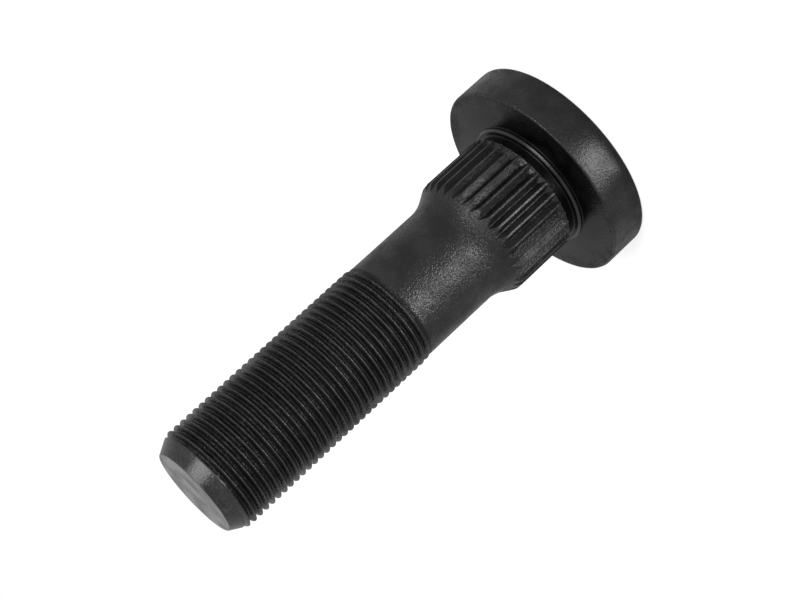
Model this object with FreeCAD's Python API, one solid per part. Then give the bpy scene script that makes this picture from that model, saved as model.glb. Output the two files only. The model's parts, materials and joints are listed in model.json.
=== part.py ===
"""Press-in wheel bolt for a heavy vehicle's hub.

One piece of steel: a disc head, a raised collar ring, an undercut neck, a band of straight press-in teeth, a
shoulder that flares down to a plain shank, and a fine thread that ends in a bevelled tip. The bolt stands on
its head: the origin is the centre of the head's outer face, and +Z runs along the axis to the tip.
Millimetres and degrees.
"""
import FreeCAD, Part
import math
import os

# Head, and the collar ring that steps out from the neck at the head's seat
head_diameter = 42.5
head_thickness = 8.0
head_outer_round = 0.5
head_seat_bevel = 0.3
collar_height = 1.0
collar_step = 1.3
collar_bevel = 0.4

# Thread, as a plain cylinder over its crests, and the bevelled tip
thread_diameter = 22.0
thread_pitch = 1.5
thread_allowance = 0.1
thread_length = 48.0
tip_bevel_depth = 2.0
tip_bevel_angle = 30.0

# Neck, wider than the thread so that the thread passes freely through the hub's hole
neck_oversize = 2.2
neck_length = 3.15

# Press-in teeth: a band that steps up squarely from the neck, with grooves rolled down into it
tooth_count = 34
tooth_band_length = 13.1
crest_rise = 0.85
crest_land = 0.35
groove_depth = 0.85
groove_floor = 0.2
groove_ramp_length = 1.15
groove_ramp_angle = 29.0

# Shoulder below the teeth, and the plain shank, narrower than the rolled thread by shank_undersize
flare_angle = 30.0
flare_top_round = 2.0
flare_foot_round = 7.0
shank_length = 17.3
shank_undersize = 0.8

# The most of a straight side that the round at one of its ends may take
ROUND_SHARE = 0.49

# How far the groove's cutter stands out of the crests
CUTTER_OVERRUN = 0.2

neck_radius = thread_diameter / 2 + neck_oversize / 2
crest_radius = neck_radius + crest_rise
root_radius = crest_radius - groove_depth
neck_top = head_thickness + neck_length
shoulder = neck_top + tooth_band_length

axis = FreeCAD.Vector(0, 0, 1)
origin = FreeCAD.Vector(0, 0, 0)


def run_along(drop, angle):
    """Length along the axis in which a slope at this angle to the axis changes the radius by drop."""
    return drop / math.tan(math.radians(angle))


def rounded_wire(corners):
    """Closed wire in the XZ plane through (radius, height, round) corners, with tangent arcs at the rounds."""
    points = [FreeCAD.Vector(radius, 0, height) for radius, height, _ in corners]
    edges = []
    side_ends = []
    for index, corner in enumerate(points):
        back = points[index - 1] - corner
        ahead = points[(index + 1) % len(points)] - corner
        half_angle = back.getAngle(ahead) / 2
        shorter_side = min(back.Length, ahead.Length)
        reach = min(corners[index][2] / math.tan(half_angle), ROUND_SHARE * shorter_side)
        rounding = reach * math.tan(half_angle)
        start = corner + back.normalize() * reach
        end = corner + ahead.normalize() * reach
        if rounding > 0:
            inward = (back + ahead).normalize()
            middle = corner + inward * (rounding / math.sin(half_angle) - rounding)
            edges.append(Part.Arc(start, middle, end).toShape())
        side_ends.append((start, end))
    for index, (start, _) in enumerate(side_ends):
        previous_end = side_ends[index - 1][1]
        edges.append(Part.LineSegment(previous_end, start).toShape())
    return Part.Wire(Part.__sortEdges__(edges))


def turned_blank():
    """The bolt before its grooves are rolled: one profile turned about the axis."""
    head_radius = head_diameter / 2
    collar_radius = neck_radius + collar_step
    thread_radius = (thread_diameter - thread_allowance) / 2
    shank_radius = (thread_diameter - shank_undersize) / 2
    tip_radius = thread_radius - tip_bevel_depth

    collar_top = head_thickness + collar_height
    flare_foot = shoulder + run_along(crest_radius - shank_radius, flare_angle)
    shank_top = flare_foot + shank_length
    thread_start = shank_top + thread_pitch
    tip = thread_start + thread_length
    bevel_start = tip - run_along(tip_bevel_depth, tip_bevel_angle)

    corners = [
        (0, 0, 0),
        (head_radius, 0, head_outer_round),
        (head_radius, head_thickness - head_seat_bevel, 0),
        (head_radius - head_seat_bevel, head_thickness, 0),
        (collar_radius, head_thickness, 0),
        (collar_radius, collar_top - collar_bevel, 0),
        (collar_radius - collar_bevel, collar_top, 0),
        (neck_radius, collar_top, 0),
        (neck_radius, neck_top, 0),
        (crest_radius, neck_top, 0),
        (crest_radius, shoulder, flare_top_round),
        (shank_radius, flare_foot, flare_foot_round),
        (shank_radius, shank_top, 0),
        (thread_radius, thread_start, 0),
        (thread_radius, bevel_start, 0),
        (tip_radius, tip, 0),
        (0, tip, 0),
    ]
    return Part.Face(rounded_wire(corners)).revolve(origin, axis, 360)


def groove_cutter():
    """Solid that cuts one groove between two teeth: a V along the axis, which climbs a ramp at its head end."""
    outer_radius = crest_radius + CUTTER_OVERRUN
    tooth_spacing = 2 * math.pi * crest_radius / tooth_count
    half_floor = groove_floor / 2
    half_mouth = (tooth_spacing - crest_land) / 2
    flank_slope = (half_mouth - half_floor) / groove_depth
    half_outer = half_floor + flank_slope * (outer_radius - root_radius)

    ramp_foot = neck_top + groove_ramp_length
    ramp_rise = outer_radius - root_radius
    ramp_drop = run_along(ramp_rise, groove_ramp_angle)
    cutter_end = shoulder + run_along(crest_radius, flare_angle)

    section = Part.Face(Part.makePolygon([
        FreeCAD.Vector(root_radius, -half_floor, ramp_foot),
        FreeCAD.Vector(root_radius, half_floor, ramp_foot),
        FreeCAD.Vector(outer_radius, half_outer, ramp_foot),
        FreeCAD.Vector(outer_radius, -half_outer, ramp_foot),
        FreeCAD.Vector(root_radius, -half_floor, ramp_foot),
    ]))
    groove = section.extrude(axis * (cutter_end - ramp_foot))
    ramp = section.extrude(FreeCAD.Vector(ramp_rise, 0, -ramp_drop))
    return groove.fuse(ramp)


def wheel_bolt():
    """The finished bolt: the turned blank with its ring of grooves cut."""
    cutter = groove_cutter()
    cutters = []
    for index in range(tooth_count):
        turned_cutter = cutter.copy()
        turned_cutter.rotate(origin, axis, 360 * index / tooth_count)
        cutters.append(turned_cutter)
    return turned_blank().cut(cutters).Solids[0]


os.makedirs("parts", exist_ok=True)
bolt = wheel_bolt()
bolt.exportStep("parts/wheel_bolt.step")
box = bolt.optimalBoundingBox()
print("wheel_bolt valid", bolt.isValid(), "volume", round(bolt.Volume, 1), "faces", len(bolt.Faces))
print("size", round(box.XLength, 3), round(box.YLength, 3), round(box.ZLength, 3))
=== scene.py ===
"""Look of a press-in wheel bolt in black phosphated steel, standing on its head on a pale studio floor.

The bolt is one closed mesh. A sector one tooth wide is turned from the profile between the head and the
shank, grooved, and repeated round the axis. The thread is a chain of rolled ridges spun along a helix, and
the bevelled tip is turned. Sizes are in metres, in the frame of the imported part: the origin is the centre
of the head's outer face, and +Z runs along the axis to the tip.
"""
import json
import math
import bmesh
import bpy
from mathutils import Matrix, Vector


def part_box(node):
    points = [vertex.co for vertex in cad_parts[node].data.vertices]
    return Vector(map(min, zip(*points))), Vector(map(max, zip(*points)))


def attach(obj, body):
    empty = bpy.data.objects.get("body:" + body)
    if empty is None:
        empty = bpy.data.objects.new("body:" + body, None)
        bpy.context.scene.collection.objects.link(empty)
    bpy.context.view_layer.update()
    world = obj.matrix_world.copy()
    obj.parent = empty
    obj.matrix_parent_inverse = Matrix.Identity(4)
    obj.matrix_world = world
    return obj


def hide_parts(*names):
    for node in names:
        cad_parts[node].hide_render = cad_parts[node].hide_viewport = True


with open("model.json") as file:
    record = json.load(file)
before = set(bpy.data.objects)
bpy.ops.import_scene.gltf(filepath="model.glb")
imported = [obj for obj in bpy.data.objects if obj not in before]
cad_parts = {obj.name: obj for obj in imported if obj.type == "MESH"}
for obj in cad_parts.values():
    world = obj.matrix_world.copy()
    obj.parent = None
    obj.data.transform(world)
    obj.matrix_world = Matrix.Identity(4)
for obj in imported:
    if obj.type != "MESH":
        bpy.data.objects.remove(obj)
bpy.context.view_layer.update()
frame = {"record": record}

MM = 0.001
NODE = "wheel_bolt"
AXIS = (0, 0, 1)
ORIGIN = (0, 0, 0)

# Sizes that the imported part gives
mounts = {mount["name"]: mount for mount in frame["record"]["mounts"]}
thread_mount = mounts["thread"]
HEAD_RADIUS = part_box(NODE)[1].x
TIP_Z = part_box(NODE)[1].z
SEAT_Z = mounts["head_seat"]["pos_m"][2]
THREAD_RADIUS = thread_mount["dims"]["r_mm"] * MM
THREAD_START_Z = thread_mount["pos_m"][2] - thread_mount["dims"]["length_mm"] * MM / 2

# Head and collar
HEAD_OUTER_ROUND = 0.5 * MM
HEAD_SEAT_ROUND = 0.4 * MM
COLLAR_RADIUS = 13.4 * MM
COLLAR_TOP_Z = SEAT_Z + 1.0 * MM
COLLAR_BEVEL = 0.4 * MM
COLLAR_ROUND = 0.15 * MM
COLLAR_FILLET = 0.2 * MM

# Neck and press-in teeth
NECK_RADIUS = 12.1 * MM
NECK_FILLET = 0.3 * MM
NECK_TOP_Z = SEAT_Z + 3.15 * MM
TOOTH_COUNT = 34
TOOTH_BAND = 13.1 * MM
CREST_RADIUS = 12.95 * MM
CREST_LAND = 0.35 * MM
GROOVE_DEPTH = 0.85 * MM
GROOVE_FLOOR = 0.2 * MM
RAMP_LENGTH = 1.15 * MM
RAMP_SLOPE = math.tan(math.radians(29))

# Shoulder flare, shank and the thread's run-out
FLARE_SLOPE = math.tan(math.radians(30))
FLARE_TOP_ROUND = 2.0 * MM
FLARE_FOOT_ROUND = 7.0 * MM
SHANK_RADIUS = 10.6 * MM
RUN_OUT = 1.5 * MM

# Rolled thread and bevelled tip
PITCH = 1.5 * MM
CREST_SHIFT = 0.58 * MM
THREAD_ROOT = 10.08 * MM
FLANK_SLOPE = math.tan(math.radians(30))
TIP_SLOPE = math.tan(math.radians(30))
TIP_BEVEL_DEPTH = 2.0 * MM
TIP_ROUND = 0.3 * MM

# How finely the rounds and the circles are divided
COLUMNS_PER_TOOTH = 6
COLUMNS = TOOTH_COUNT * COLUMNS_PER_TOOTH
ROUND_SEGMENTS = 5
FLARE_SEGMENTS = 8

# The distance within which vertices are one, and the angle from which an edge is sharp
WELD = 2e-6
SHARP_ANGLE = math.radians(28)

# Heights and radii that follow from the sizes above
ROOT_RADIUS = CREST_RADIUS - GROOVE_DEPTH
SHOULDER_Z = NECK_TOP_Z + TOOTH_BAND
RAMP_FOOT_Z = NECK_TOP_Z + RAMP_LENGTH
GROOVE_END_Z = SHOULDER_Z + GROOVE_DEPTH / FLARE_SLOPE
FLARE_FOOT_Z = SHOULDER_Z + (CREST_RADIUS - SHANK_RADIUS) / FLARE_SLOPE
SHANK_TOP_Z = THREAD_START_Z - RUN_OUT
TIP_RADIUS = THREAD_RADIUS - TIP_BEVEL_DEPTH
BEVEL_Z = TIP_Z - TIP_BEVEL_DEPTH / TIP_SLOPE
COLLAR_BEVEL_Z = COLLAR_TOP_Z - COLLAR_BEVEL
COLLAR_RIM_RADIUS = COLLAR_RADIUS - COLLAR_BEVEL

# The mesh's material slots, in the order in which its finishes are added: the open finish, then darker
# copies of it as painted shade in the grooves and in the recess
OPEN_FINISH = 0
GROOVE_PAINTED_SHADE = 1
RECESS_PAINTED_SHADE = 2

# Where the finish, its rub with painted glints and the end's painted sheen change, as the start and the end
# of each change: heights first, then radii
RIM_CHANGE = (SEAT_Z - 0.3 * MM, SEAT_Z - 0.05 * MM)
COLLAR_CHANGE = (COLLAR_BEVEL_Z - 0.05 * MM, COLLAR_BEVEL_Z)
TOOTH_CHANGE = (NECK_TOP_Z - 0.1 * MM, NECK_TOP_Z)
FLARE_CHANGE = (SHOULDER_Z - 1.0 * MM, SHOULDER_Z)
THREAD_CHANGE = (THREAD_START_Z, THREAD_START_Z + 2.0 * MM)
BEVEL_CHANGE = (TIP_Z - 3.4 * MM, TIP_Z - 2.8 * MM)
END_CHANGE = (TIP_Z - 0.12 * MM, TIP_Z - 0.02 * MM)
SEAT_RIM = (HEAD_RADIUS - 5.0 * MM, HEAD_RADIUS - 1.0 * MM)
COLLAR_RIM = (COLLAR_RIM_RADIUS - 0.1 * MM, COLLAR_RIM_RADIUS)
TOOTH_CREST = (CREST_RADIUS - 0.06 * MM, CREST_RADIUS)
THREAD_CREST = (THREAD_RADIUS - 0.03 * MM, THREAD_RADIUS)

# Spots of the finish: how large they are, and the part of each noise that is used
BLOTCH_SIZE = 4.0 * MM
SPECK_SIZE = 0.5 * MM
GRAIN_SIZE = 0.3 * MM
BLOTCHES = (0.38, 0.62)
END_BLOTCHES = (0.35, 0.65)
RUB_AND_GLINT_SPECKS = (0.3, 0.7)
PIT_SPECKS = (0.6, 0.68)

# Greys of the darkest black, of rub with painted glints on edges, crests and bevel, and of the painted
# sheen on the end face, and how patchy a rub is
DARKEST = 0.0005
COLLAR_RUB_AND_PAINTED_GLINT = 0.006
TOOTH_RUB_AND_PAINTED_GLINT = 0.023
THREAD_RUB_AND_PAINTED_GLINT = 0.036
BEVEL_RUB_AND_PAINTED_GLINT = 0.018
END_PAINTED_SHEEN_GREYS = (0.13, 0.21)
RUB_AND_GLINT_SHARES = (0.3, 1.7)

# Roughness from dark blotches to light ones, and on what is smooth; how smooth the rolled teeth are
SATIN_ROUGHNESS = (0.4, 0.17)
PIT_ROUGHNESS = 0.25
SMOOTH_ROUGHNESS = 0.2
TOOTH_SMOOTHNESS = 0.25

# Relief of the phosphate's crystals
GRAIN_SHARE = 1.1
PIT_SHARE = 0.3
SMOOTH_RELIEF = 0.25
RELIEF_STRENGTH = 0.9
RELIEF_HEIGHT = 0.12 * MM

# Studio: the floor's half width and grey, its glow and the world's strength
FLOOR_REACH = 4
FLOOR_GREY = 0.6
FLOOR_ROUGHNESS = 0.9
FLOOR_GLOW = 0.7
FLOOR_GLOSS_GLOW = 0.05
WORLD_FILL = 0.5
WORLD_GLOSS = 0.55


def smooth_step(value, start, end):
    """0 before start, 1 after end, and a smooth rise between them."""
    share = min(max((value - start) / (end - start), 0), 1)
    return share * share * (3 - 2 * share)


def flare_radius(z):
    """Radius of the shoulder's straight flare at a height."""
    return CREST_RADIUS - (z - SHOULDER_Z) * FLARE_SLOPE


def tip_radius(z):
    """Radius of the tip's bevel at a height."""
    return TIP_RADIUS + (TIP_Z - z) * TIP_SLOPE


def draw_profile(bm, corners):
    """Chain of edges through (radius, height, round, segments) corners, each rounded by a vertex bevel."""
    verts = [bm.verts.new((radius, 0, height)) for radius, height, _, _ in corners]
    for pair in zip(verts, verts[1:]):
        bm.edges.new(pair)
    turns = []
    for before, vert, after in zip(verts, verts[1:], verts[2:]):
        turns.append((vert.co - before.co).angle(after.co - vert.co))
    for vert, corner, turn in zip(verts[1:-1], corners[1:-1], turns):
        _, _, rounding, segments = corner
        if rounding > 0:
            bmesh.ops.bevel(bm, geom=[vert], offset=rounding * math.tan(turn / 2), offset_type="OFFSET",
                            segments=segments, profile=0.5, affect="VERTICES", material=-1)


def groove_half_width(height):
    """Half of a groove's width at a height above its root."""
    tooth_spacing = 2 * math.pi * CREST_RADIUS / TOOTH_COUNT
    half_mouth = (tooth_spacing - CREST_LAND) / 2
    widening = (half_mouth - GROOVE_FLOOR / 2) / GROOVE_DEPTH
    return GROOVE_FLOOR / 2 + widening * height


def sink_groove(bm):
    """Presses the groove between two half teeth into the sector; a flat ramp closes its head end.

    The columns across the sector are the two land centres, the two mouth edges, the two floor edges and the
    floor's middle.
    """
    column_angle = 2 * math.pi / COLUMNS
    middle = COLUMNS_PER_TOOTH // 2
    for vert in bm.verts:
        radius = vert.co.xy.length
        floor = ROOT_RADIUS + max(RAMP_FOOT_Z - vert.co.z, 0) * RAMP_SLOPE
        in_band = NECK_TOP_Z - WELD < vert.co.z < GROOVE_END_Z + WELD
        if not in_band or radius < floor - WELD:
            continue
        side = round(math.atan2(vert.co.y, vert.co.x) / column_angle) - middle
        if abs(side) == middle:
            continue
        if abs(side) < middle - 1:
            radius = floor
        offset = groove_half_width(radius - ROOT_RADIUS) * min(max(side, -1), 1)
        angle = middle * column_angle + offset / radius
        vert.co.x = radius * math.cos(angle)
        vert.co.y = radius * math.sin(angle)


def head_to_shank():
    """Mesh from the head to the end of the shank, open where the thread begins."""
    spread_z = GROOVE_END_Z + 0.7 * MM
    open_z = SHANK_TOP_Z - PITCH / 4
    corners = [
        (0, 0, 0, 0),
        (HEAD_RADIUS, 0, HEAD_OUTER_ROUND, ROUND_SEGMENTS),
        (HEAD_RADIUS, SEAT_Z, HEAD_SEAT_ROUND, ROUND_SEGMENTS),
        (COLLAR_RADIUS, SEAT_Z, COLLAR_FILLET, ROUND_SEGMENTS),
        (COLLAR_RADIUS, COLLAR_BEVEL_Z, COLLAR_ROUND, ROUND_SEGMENTS),
        (COLLAR_RIM_RADIUS, COLLAR_TOP_Z, COLLAR_ROUND, ROUND_SEGMENTS),
        (NECK_RADIUS, COLLAR_TOP_Z, NECK_FILLET, ROUND_SEGMENTS),
        (NECK_RADIUS, NECK_TOP_Z, 0, 0),
        (CREST_RADIUS, NECK_TOP_Z, 0, 0),
        (CREST_RADIUS, RAMP_FOOT_Z, 0, 0),
        (CREST_RADIUS, SHOULDER_Z, FLARE_TOP_ROUND, FLARE_SEGMENTS),
        (ROOT_RADIUS, GROOVE_END_Z, 0, 0),
        (flare_radius(spread_z), spread_z, 0, 0),
        (SHANK_RADIUS, FLARE_FOOT_Z, FLARE_FOOT_ROUND, FLARE_SEGMENTS),
        (SHANK_RADIUS, open_z, 0, 0),
    ]
    sector = 2 * math.pi / TOOTH_COUNT
    bm = bmesh.new()
    draw_profile(bm, corners)
    bmesh.ops.spin(bm, geom=bm.verts[:] + bm.edges[:], cent=ORIGIN, axis=AXIS, angle=sector,
                   steps=COLUMNS_PER_TOOTH)
    sink_groove(bm)
    bmesh.ops.spin(bm, geom=bm.verts[:] + bm.edges[:] + bm.faces[:], cent=ORIGIN, axis=AXIS,
                   angle=sector * (TOOTH_COUNT - 1), steps=TOOTH_COUNT - 1, use_duplicate=True)
    bmesh.ops.remove_doubles(bm, verts=bm.verts, dist=WELD)
    half_tooth = Matrix.Rotation(sector / 2, 3, "Z")
    bmesh.ops.rotate(bm, verts=bm.verts, cent=ORIGIN, matrix=half_tooth)
    return bm


def rolled_ridge():
    """One ridge of the thread, from root to root, as (offset from the crest, radius) pairs."""
    crest_half = PITCH / 26
    crest_edge = THREAD_RADIUS - 0.012 * MM
    flank_top = THREAD_RADIUS - 0.06 * MM
    flank_foot = THREAD_ROOT + 0.1 * MM
    flank_middle = (flank_top + flank_foot) / 2
    top_offset = crest_half + 0.05 * MM
    rise = [(-PITCH / 2, THREAD_ROOT)]
    for radius in (flank_foot, flank_middle, flank_top):
        rise.append((-top_offset - (flank_top - radius) * FLANK_SLOPE, radius))
    rise.append((-crest_half, crest_edge))
    fall = [(-offset, radius) for offset, radius in reversed(rise[1:])]
    return rise + [(0, THREAD_RADIUS)] + fall


def thread():
    """Mesh of the right-hand thread, which fades in from the shank and out into the tip's bevel."""
    first_crest_z = SHANK_TOP_Z - 2 * PITCH + CREST_SHIFT
    ridge_count = math.ceil((TIP_Z - first_crest_z) / PITCH)
    full_height_z = SHANK_TOP_Z + 1.6 * PITCH
    fade_start_z = TIP_Z - 2.8 * MM
    fade_end_z = TIP_Z - 2.0 * MM
    join_z = TIP_Z - 1.9 * MM
    bm = bmesh.new()
    corners = []
    for index in range(ridge_count):
        for offset, radius in rolled_ridge():
            corners.append((radius, first_crest_z + index * PITCH + offset, 0, 0))
    draw_profile(bm, corners)
    bmesh.ops.spin(bm, geom=bm.verts[:] + bm.edges[:], cent=ORIGIN, axis=AXIS,
                   dvec=(0, 0, PITCH / COLUMNS), angle=2 * math.pi, steps=COLUMNS)
    bmesh.ops.remove_doubles(bm, verts=bm.verts, dist=WELD)

    for vert in bm.verts:
        z = vert.co.z
        radius = vert.co.xy.length
        grown = smooth_step(z, SHANK_TOP_Z, full_height_z)
        shaped = SHANK_RADIUS + (radius - SHANK_RADIUS) * grown
        bevel = tip_radius(z)
        shaped = min(shaped, bevel)
        shaped += (bevel - shaped) * smooth_step(z, fade_start_z, fade_end_z)
        vert.co.x *= shaped / radius
        vert.co.y *= shaped / radius

    for height, lower in ((SHANK_TOP_Z, True), (join_z, False)):
        bmesh.ops.bisect_plane(bm, geom=bm.verts[:] + bm.edges[:] + bm.faces[:], dist=WELD,
                               plane_co=(0, 0, height), plane_no=AXIS,
                               clear_inner=lower, clear_outer=not lower)
    return bm


def tip():
    """Mesh of the end of the bevel and the flat end face."""
    start_z = TIP_Z - 1.7 * MM
    corners = [
        (tip_radius(start_z), start_z, 0, 0),
        (TIP_RADIUS, TIP_Z, TIP_ROUND, ROUND_SEGMENTS),
        (0, TIP_Z, 0, 0),
    ]
    bm = bmesh.new()
    draw_profile(bm, corners)
    bmesh.ops.spin(bm, geom=bm.verts[:] + bm.edges[:], cent=ORIGIN, axis=AXIS, angle=2 * math.pi,
                   steps=COLUMNS, use_merge=True)
    bmesh.ops.remove_doubles(bm, verts=bm.verts, dist=WELD)
    return bm


def finish_slot(place):
    """Material slot of a point: the darkest copy of the finish as painted shade at the seat and neck, a
    darker one as painted shade in tooth grooves and thread valleys.
    """
    radius = place.xy.length
    on_collar_bevel = place.z > COLLAR_BEVEL_Z and radius > COLLAR_RIM_RADIUS
    if SEAT_Z - WELD < place.z < NECK_TOP_Z - WELD and not on_collar_bevel:
        return RECESS_PAINTED_SHADE
    groove_top = min(CREST_RADIUS, flare_radius(place.z)) - 0.15 * MM
    in_groove = RAMP_FOOT_Z < place.z < GROOVE_END_Z and radius < groove_top
    valley_top = SHANK_RADIUS - 0.05 * MM
    in_valley = SHANK_TOP_Z < place.z < BEVEL_Z and radius < valley_top
    if in_groove or in_valley:
        return GROOVE_PAINTED_SHADE
    return OPEN_FINISH


def bolt_body():
    """The bolt's one closed mesh: its three lengths bridged where they meet."""
    mesh = bpy.data.meshes.new("bolt_body")
    body = bmesh.new()
    for length in (head_to_shank(), thread(), tip()):
        length.to_mesh(mesh)
        length.free()
        body.from_mesh(mesh)
    middle_z = (SHANK_TOP_Z + TIP_Z) / 2
    open_edges = [edge for edge in body.edges if edge.is_boundary]
    bmesh.ops.bridge_loops(body, edges=[edge for edge in open_edges if edge.verts[0].co.z < middle_z])
    bmesh.ops.bridge_loops(body, edges=[edge for edge in open_edges if edge.verts[0].co.z > middle_z])
    bmesh.ops.recalc_face_normals(body, faces=body.faces)
    for face in body.faces:
        face.smooth = True
        face.material_index = finish_slot(face.calc_center_median())
    for edge in body.edges:
        edge.smooth = edge.calc_face_angle(0) < SHARP_ANGLE
    body.to_mesh(mesh)
    triangle_count = len(body.calc_loop_triangles())
    open_count = sum(not edge.is_manifold for edge in body.edges)
    print("bolt_body faces", len(body.faces), "triangles", triangle_count, "open edges", open_count)
    body.free()
    piece = bpy.data.objects.new("bolt_body", mesh)
    bpy.context.scene.collection.objects.link(piece)
    return piece


def set_socket(tree, socket, value):
    """Links a node's output to a socket, or sets the socket to a plain value."""
    if isinstance(value, bpy.types.NodeSocket):
        tree.links.new(value, socket)
    else:
        socket.default_value = value


def add_node(tree, kind, **inputs):
    """New shader node, with its named inputs set or linked."""
    node = tree.nodes.new(kind)
    for name, value in inputs.items():
        set_socket(tree, node.inputs[name.replace("_", " ")], value)
    return node


def new_material(name):
    """Material with its node tree and its Principled shader."""
    material = bpy.data.materials.new(name)
    material.use_nodes = True
    return material, material.node_tree, material.node_tree.nodes["Principled BSDF"]


def noise(tree, place, size, detail):
    """Noise whose spots are about one size across, from 0 to 1."""
    spots = add_node(tree, "ShaderNodeTexNoise", Vector=place, Scale=1 / size, Detail=detail)
    return spots.outputs["Fac"]


def ramp(tree, value, low, high, at_low=0.0, at_high=1.0):
    """A value carried from one range to another, and held at its ends."""
    spread = add_node(tree, "ShaderNodeMapRange", Value=value, From_Min=low, From_Max=high, To_Min=at_low,
                      To_Max=at_high)
    return spread.outputs["Result"]


def math_node(tree, operation, first, second):
    """Result of one operation on two numbers."""
    node = tree.nodes.new("ShaderNodeMath")
    node.operation = operation
    set_socket(tree, node.inputs[0], first)
    set_socket(tree, node.inputs[1], second)
    return node.outputs["Value"]


def axis_distance(tree, place):
    """Distance of a point from the bolt's axis."""
    flat = add_node(tree, "ShaderNodeVectorMath", Vector=place)
    flat.operation = "MULTIPLY"
    flat.inputs[1].default_value = (1, 1, 0)
    length = add_node(tree, "ShaderNodeVectorMath", Vector=flat.outputs["Vector"])
    length.operation = "LENGTH"
    return length.outputs["Value"]


def bolt_zones(tree, height):
    """Masks that are 1 on one stretch of the bolt each, by the stretch's name."""
    above_rim = ramp(tree, height, *RIM_CHANGE)
    above_neck = ramp(tree, height, *TOOTH_CHANGE)
    below_flare = ramp(tree, height, *FLARE_CHANGE, 1, 0)
    above_thread = ramp(tree, height, *BEVEL_CHANGE)
    end = ramp(tree, height, *END_CHANGE)
    return {
        "seat": math_node(tree, "SUBTRACT", above_rim, above_neck),
        "teeth": math_node(tree, "MULTIPLY", above_neck, below_flare),
        "thread": ramp(tree, height, *THREAD_CHANGE),
        "bevel": math_node(tree, "SUBTRACT", above_thread, end),
        "end": end,
    }


def rub_and_painted_glint_greys(tree, zones, height, radius, specks):
    """Grey of rub and painted glints: on the collar's edge, the crests of teeth and thread, and the tip's
    bevel.
    """
    # The collar's edge, the crests and the bevel are lightened both as rub and as painted glints.
    collar_edge = ramp(tree, height, *COLLAR_CHANGE, 0, COLLAR_RUB_AND_PAINTED_GLINT)
    collar_rim = ramp(tree, radius, *COLLAR_RIM)
    tooth_crest = ramp(tree, radius, *TOOTH_CREST, 0, TOOTH_RUB_AND_PAINTED_GLINT)
    thread_crest = ramp(tree, radius, *THREAD_CREST, 0, THREAD_RUB_AND_PAINTED_GLINT)
    rubs_and_painted_glints = [
        math_node(tree, "MULTIPLY", zones["seat"], math_node(tree, "MULTIPLY", collar_edge, collar_rim)),
        math_node(tree, "MULTIPLY", zones["teeth"], tooth_crest),
        math_node(tree, "MULTIPLY", zones["thread"], thread_crest),
        math_node(tree, "MULTIPLY", zones["bevel"], BEVEL_RUB_AND_PAINTED_GLINT),
    ]
    rub_and_painted_glint = rubs_and_painted_glints[0]
    for other in rubs_and_painted_glints[1:]:
        rub_and_painted_glint = math_node(tree, "MAXIMUM", rub_and_painted_glint, other)
    return math_node(tree, "MULTIPLY", rub_and_painted_glint, ramp(tree, specks, *RUB_AND_GLINT_SPECKS, *RUB_AND_GLINT_SHARES))


def black_phosphate(name, specular_level, lightest):
    """Satin black phosphate: mottled and grainy, smooth where turned, rubbed and lightened with painted
    glints on crests and edges, made pale at the end by a painted sheen.
    """
    material, tree, shader = new_material(name)
    place = tree.nodes.new("ShaderNodeTexCoord").outputs["Object"]
    blotches = noise(tree, place, BLOTCH_SIZE, detail=5)
    specks = noise(tree, place, SPECK_SIZE, detail=2)
    grain = noise(tree, place, GRAIN_SIZE, detail=1)
    height = add_node(tree, "ShaderNodeSeparateXYZ", Vector=place).outputs["Z"]
    radius = axis_distance(tree, place)
    zones = bolt_zones(tree, height)

    rub_and_painted_glint = rub_and_painted_glint_greys(tree, zones, height, radius, specks)
    # The end face's pale grey is a painted sheen, joined here to the rub and painted glints.
    end_painted_sheen = ramp(tree, blotches, *END_BLOTCHES, *END_PAINTED_SHEEN_GREYS)
    painted_end_sheen = math_node(tree, "MULTIPLY", zones["end"], end_painted_sheen)
    rub_and_painted_light = math_node(tree, "MAXIMUM", rub_and_painted_glint, painted_end_sheen)
    black = ramp(tree, blotches, *BLOTCHES, DARKEST, lightest)
    shade = math_node(tree, "ADD", black, rub_and_painted_light)
    colour = add_node(tree, "ShaderNodeCombineColor", Red=shade, Green=shade, Blue=shade)
    tree.links.new(colour.outputs["Color"], shader.inputs["Base Color"])

    inside_rim = ramp(tree, radius, *SEAT_RIM, 1, 0)
    turned_seat = math_node(tree, "MULTIPLY", zones["seat"], inside_rim)
    turned = math_node(tree, "MAXIMUM", turned_seat, zones["bevel"])
    rolled = math_node(tree, "MULTIPLY", zones["teeth"], TOOTH_SMOOTHNESS)
    smooth = math_node(tree, "MAXIMUM", turned, rolled)
    pits = ramp(tree, specks, *PIT_SPECKS)
    satin = ramp(tree, blotches, *BLOTCHES, *SATIN_ROUGHNESS)
    pitted = math_node(tree, "ADD", satin, math_node(tree, "MULTIPLY", pits, PIT_ROUGHNESS))
    roughness = ramp(tree, smooth, 0, 1, pitted, SMOOTH_ROUGHNESS)
    tree.links.new(roughness, shader.inputs["Roughness"])
    shader.inputs["Specular IOR Level"].default_value = specular_level

    crystals = math_node(tree, "ADD", specks, math_node(tree, "MULTIPLY", grain, GRAIN_SHARE))
    relief = math_node(tree, "SUBTRACT", crystals, math_node(tree, "MULTIPLY", pits, PIT_SHARE))
    smoothed = math_node(tree, "MULTIPLY", relief, ramp(tree, smooth, 0, 1, 1, SMOOTH_RELIEF))
    bump = add_node(tree, "ShaderNodeBump", Height=smoothed, Strength=RELIEF_STRENGTH,
                    Distance=RELIEF_HEIGHT)
    tree.links.new(bump.outputs["Normal"], shader.inputs["Normal"])
    return material


def studio_rays(tree):
    """Two masks: 1 for rays from the camera or through glass, and 1 for rays from a gloss."""
    path = tree.nodes.new("ShaderNodeLightPath")
    direct = math_node(tree, "MAXIMUM", path.outputs["Is Camera Ray"], path.outputs["Is Transmission Ray"])
    return direct, path.outputs["Is Glossy Ray"]


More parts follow.
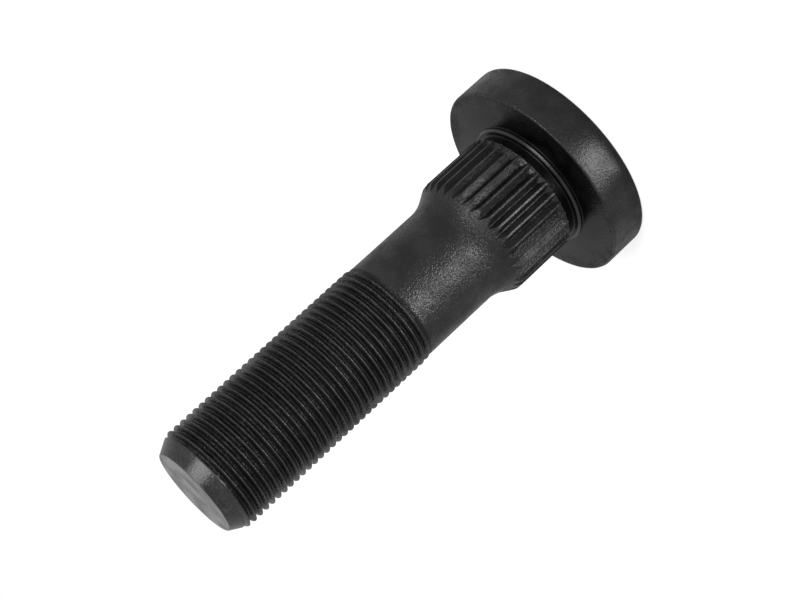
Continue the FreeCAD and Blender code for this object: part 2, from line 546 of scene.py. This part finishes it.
def studio_floor():
    """Wide pale floor under the head, which shows white and keeps the bolt's soft shadow."""
    bm = bmesh.new()
    bmesh.ops.create_grid(bm, x_segments=1, y_segments=1, size=FLOOR_REACH)
    mesh = bpy.data.meshes.new("floor")
    bm.to_mesh(mesh)
    bm.free()
    floor = bpy.data.objects.new("floor", mesh)
    bpy.context.scene.collection.objects.link(floor)
    material, tree, shader = new_material("pale_floor")
    shader.inputs["Base Color"].default_value = (FLOOR_GREY, FLOOR_GREY, FLOOR_GREY, 1)
    shader.inputs["Roughness"].default_value = FLOOR_ROUGHNESS
    shader.inputs["Specular IOR Level"].default_value = 0.0
    shader.inputs["Emission Color"].default_value = (1, 1, 1, 1)
    direct, glossy = studio_rays(tree)
    glow = math_node(tree, "ADD", math_node(tree, "MULTIPLY", direct, FLOOR_GLOW),
                     math_node(tree, "MULTIPLY", glossy, FLOOR_GLOSS_GLOW))
    tree.links.new(glow, shader.inputs["Emission Strength"])
    mesh.materials.append(material)


def studio_world():
    """White studio walls for what the camera sees, and a softer fill for the gloss and the rest."""
    world = bpy.data.worlds.new("studio")
    world.use_nodes = True
    tree = world.node_tree
    background = tree.nodes["Background"]
    background.inputs["Color"].default_value = (1, 1, 1, 1)
    direct, glossy = studio_rays(tree)
    fill = ramp(tree, glossy, 0, 1, WORLD_FILL, WORLD_GLOSS)
    strength = math_node(tree, "MAXIMUM", direct, fill)
    tree.links.new(strength, background.inputs["Strength"])
    bpy.context.scene.world = world


def soft_lamp(name, place, rotation, width, height, watts):
    """Rectangular soft box, which the camera doesn't see."""
    data = bpy.data.lights.new(name, "AREA")
    data.shape = "RECTANGLE"
    data.size = width
    data.size_y = height
    data.energy = watts
    lamp = bpy.data.objects.new(name, data)
    lamp.location = place
    lamp.rotation_euler = rotation
    lamp.visible_camera = False
    bpy.context.scene.collection.objects.link(lamp)


def key_lamp():
    """Large soft box high behind the camera, for what faces up: the tip, the flare and the seat."""
    place = Vector((0.26, -0.46, 0.6))
    target = Vector((0, 0, 0.05))
    side = 0.42
    watts = 2.8
    rotation = (target - place).to_track_quat("-Z", "Y").to_euler()
    soft_lamp("key_lamp", place, rotation, side, side, watts)


def low_strip_lamps():
    """Strip of light just over the floor, wider and brighter away from the bolt, for its side's sheen."""
    strip_count = 5
    sheen_azimuth = math.radians(-15)
    start = HEAD_RADIUS * Vector((math.sin(sheen_azimuth), -math.cos(sheen_azimuth), 0))
    outward = Vector((math.sin(2 * sheen_azimuth), -math.cos(2 * sheen_azimuth), 0))
    rotation = (math.pi, 0, math.atan2(outward.y, outward.x) - math.pi / 2)
    lift = Vector((0, 0, 1 * MM))
    near = 2 * MM
    far = 12 * MM
    narrowest = 6 * MM
    widening = 0.3
    near_radiance = 4.1
    radiance_step = 1.36
    for index in range(strip_count):
        length = far - near
        width = widening * far + narrowest
        radiance = near_radiance + radiance_step * index
        place = start + outward * (near + length / 2) + lift
        soft_lamp("strip_lamp", place, rotation, width, length, radiance * math.pi * length * width)
        near = far
        far = 2 * far


def camera():
    """Camera at the photograph's viewing angle: the axis leans across the picture, head to the upper right.

    It stands aside by tooth_turn about the axis, so that the teeth lie in the picture as in the photograph.
    """
    image_width = 800
    focal_pixels = 1765.75
    shift_pixels = 2.3
    tilt = math.radians(18.44)
    lean = math.radians(42.65)
    tooth_turn = math.radians(-1.3)
    distance = 325.2 * MM
    aim_z = SEAT_Z + 35.1 * MM

    forward = Vector((0, math.cos(tilt), -math.sin(tilt)))
    to_head = Vector((0, -math.sin(tilt), -math.cos(tilt)))
    aside = Vector((-1, 0, 0))
    right = math.cos(lean) * to_head + math.sin(lean) * aside
    down = -math.sin(lean) * to_head + math.cos(lean) * aside
    shift = shift_pixels / focal_pixels * distance
    place = Vector((0, 0, aim_z)) - distance * forward - shift * aside
    facing = Matrix((right, -down, -forward)).transposed().to_4x4()

    data = bpy.data.cameras.new("camera")
    data.sensor_width = 36
    data.lens = data.sensor_width * focal_pixels / image_width
    data.clip_start = 10 * MM
    view = bpy.data.objects.new("camera", data)
    view.matrix_world = Matrix.Rotation(tooth_turn, 4, "Z") @ Matrix.Translation(place) @ facing
    bpy.context.scene.collection.objects.link(view)
    bpy.context.scene.camera = view


bolt = bolt_body()
bolt.data.materials.append(black_phosphate("black_phosphate", specular_level=0.5, lightest=0.012))
# Darker, less glossy copies of the finish: painted shade in the grooves and valleys, and deeper painted
# shade in the recess at the seat and neck.
bolt.data.materials.append(black_phosphate("groove_painted_shade_phosphate", specular_level=0.3, lightest=0.008))
bolt.data.materials.append(black_phosphate("recess_painted_shade_phosphate", specular_level=0.18, lightest=0.005))
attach(bolt, "root")
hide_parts(NODE)

studio_floor()
studio_world()
key_lamp()
low_strip_lamps()
camera()
bpy.context.scene.view_settings.view_transform = "Standard"
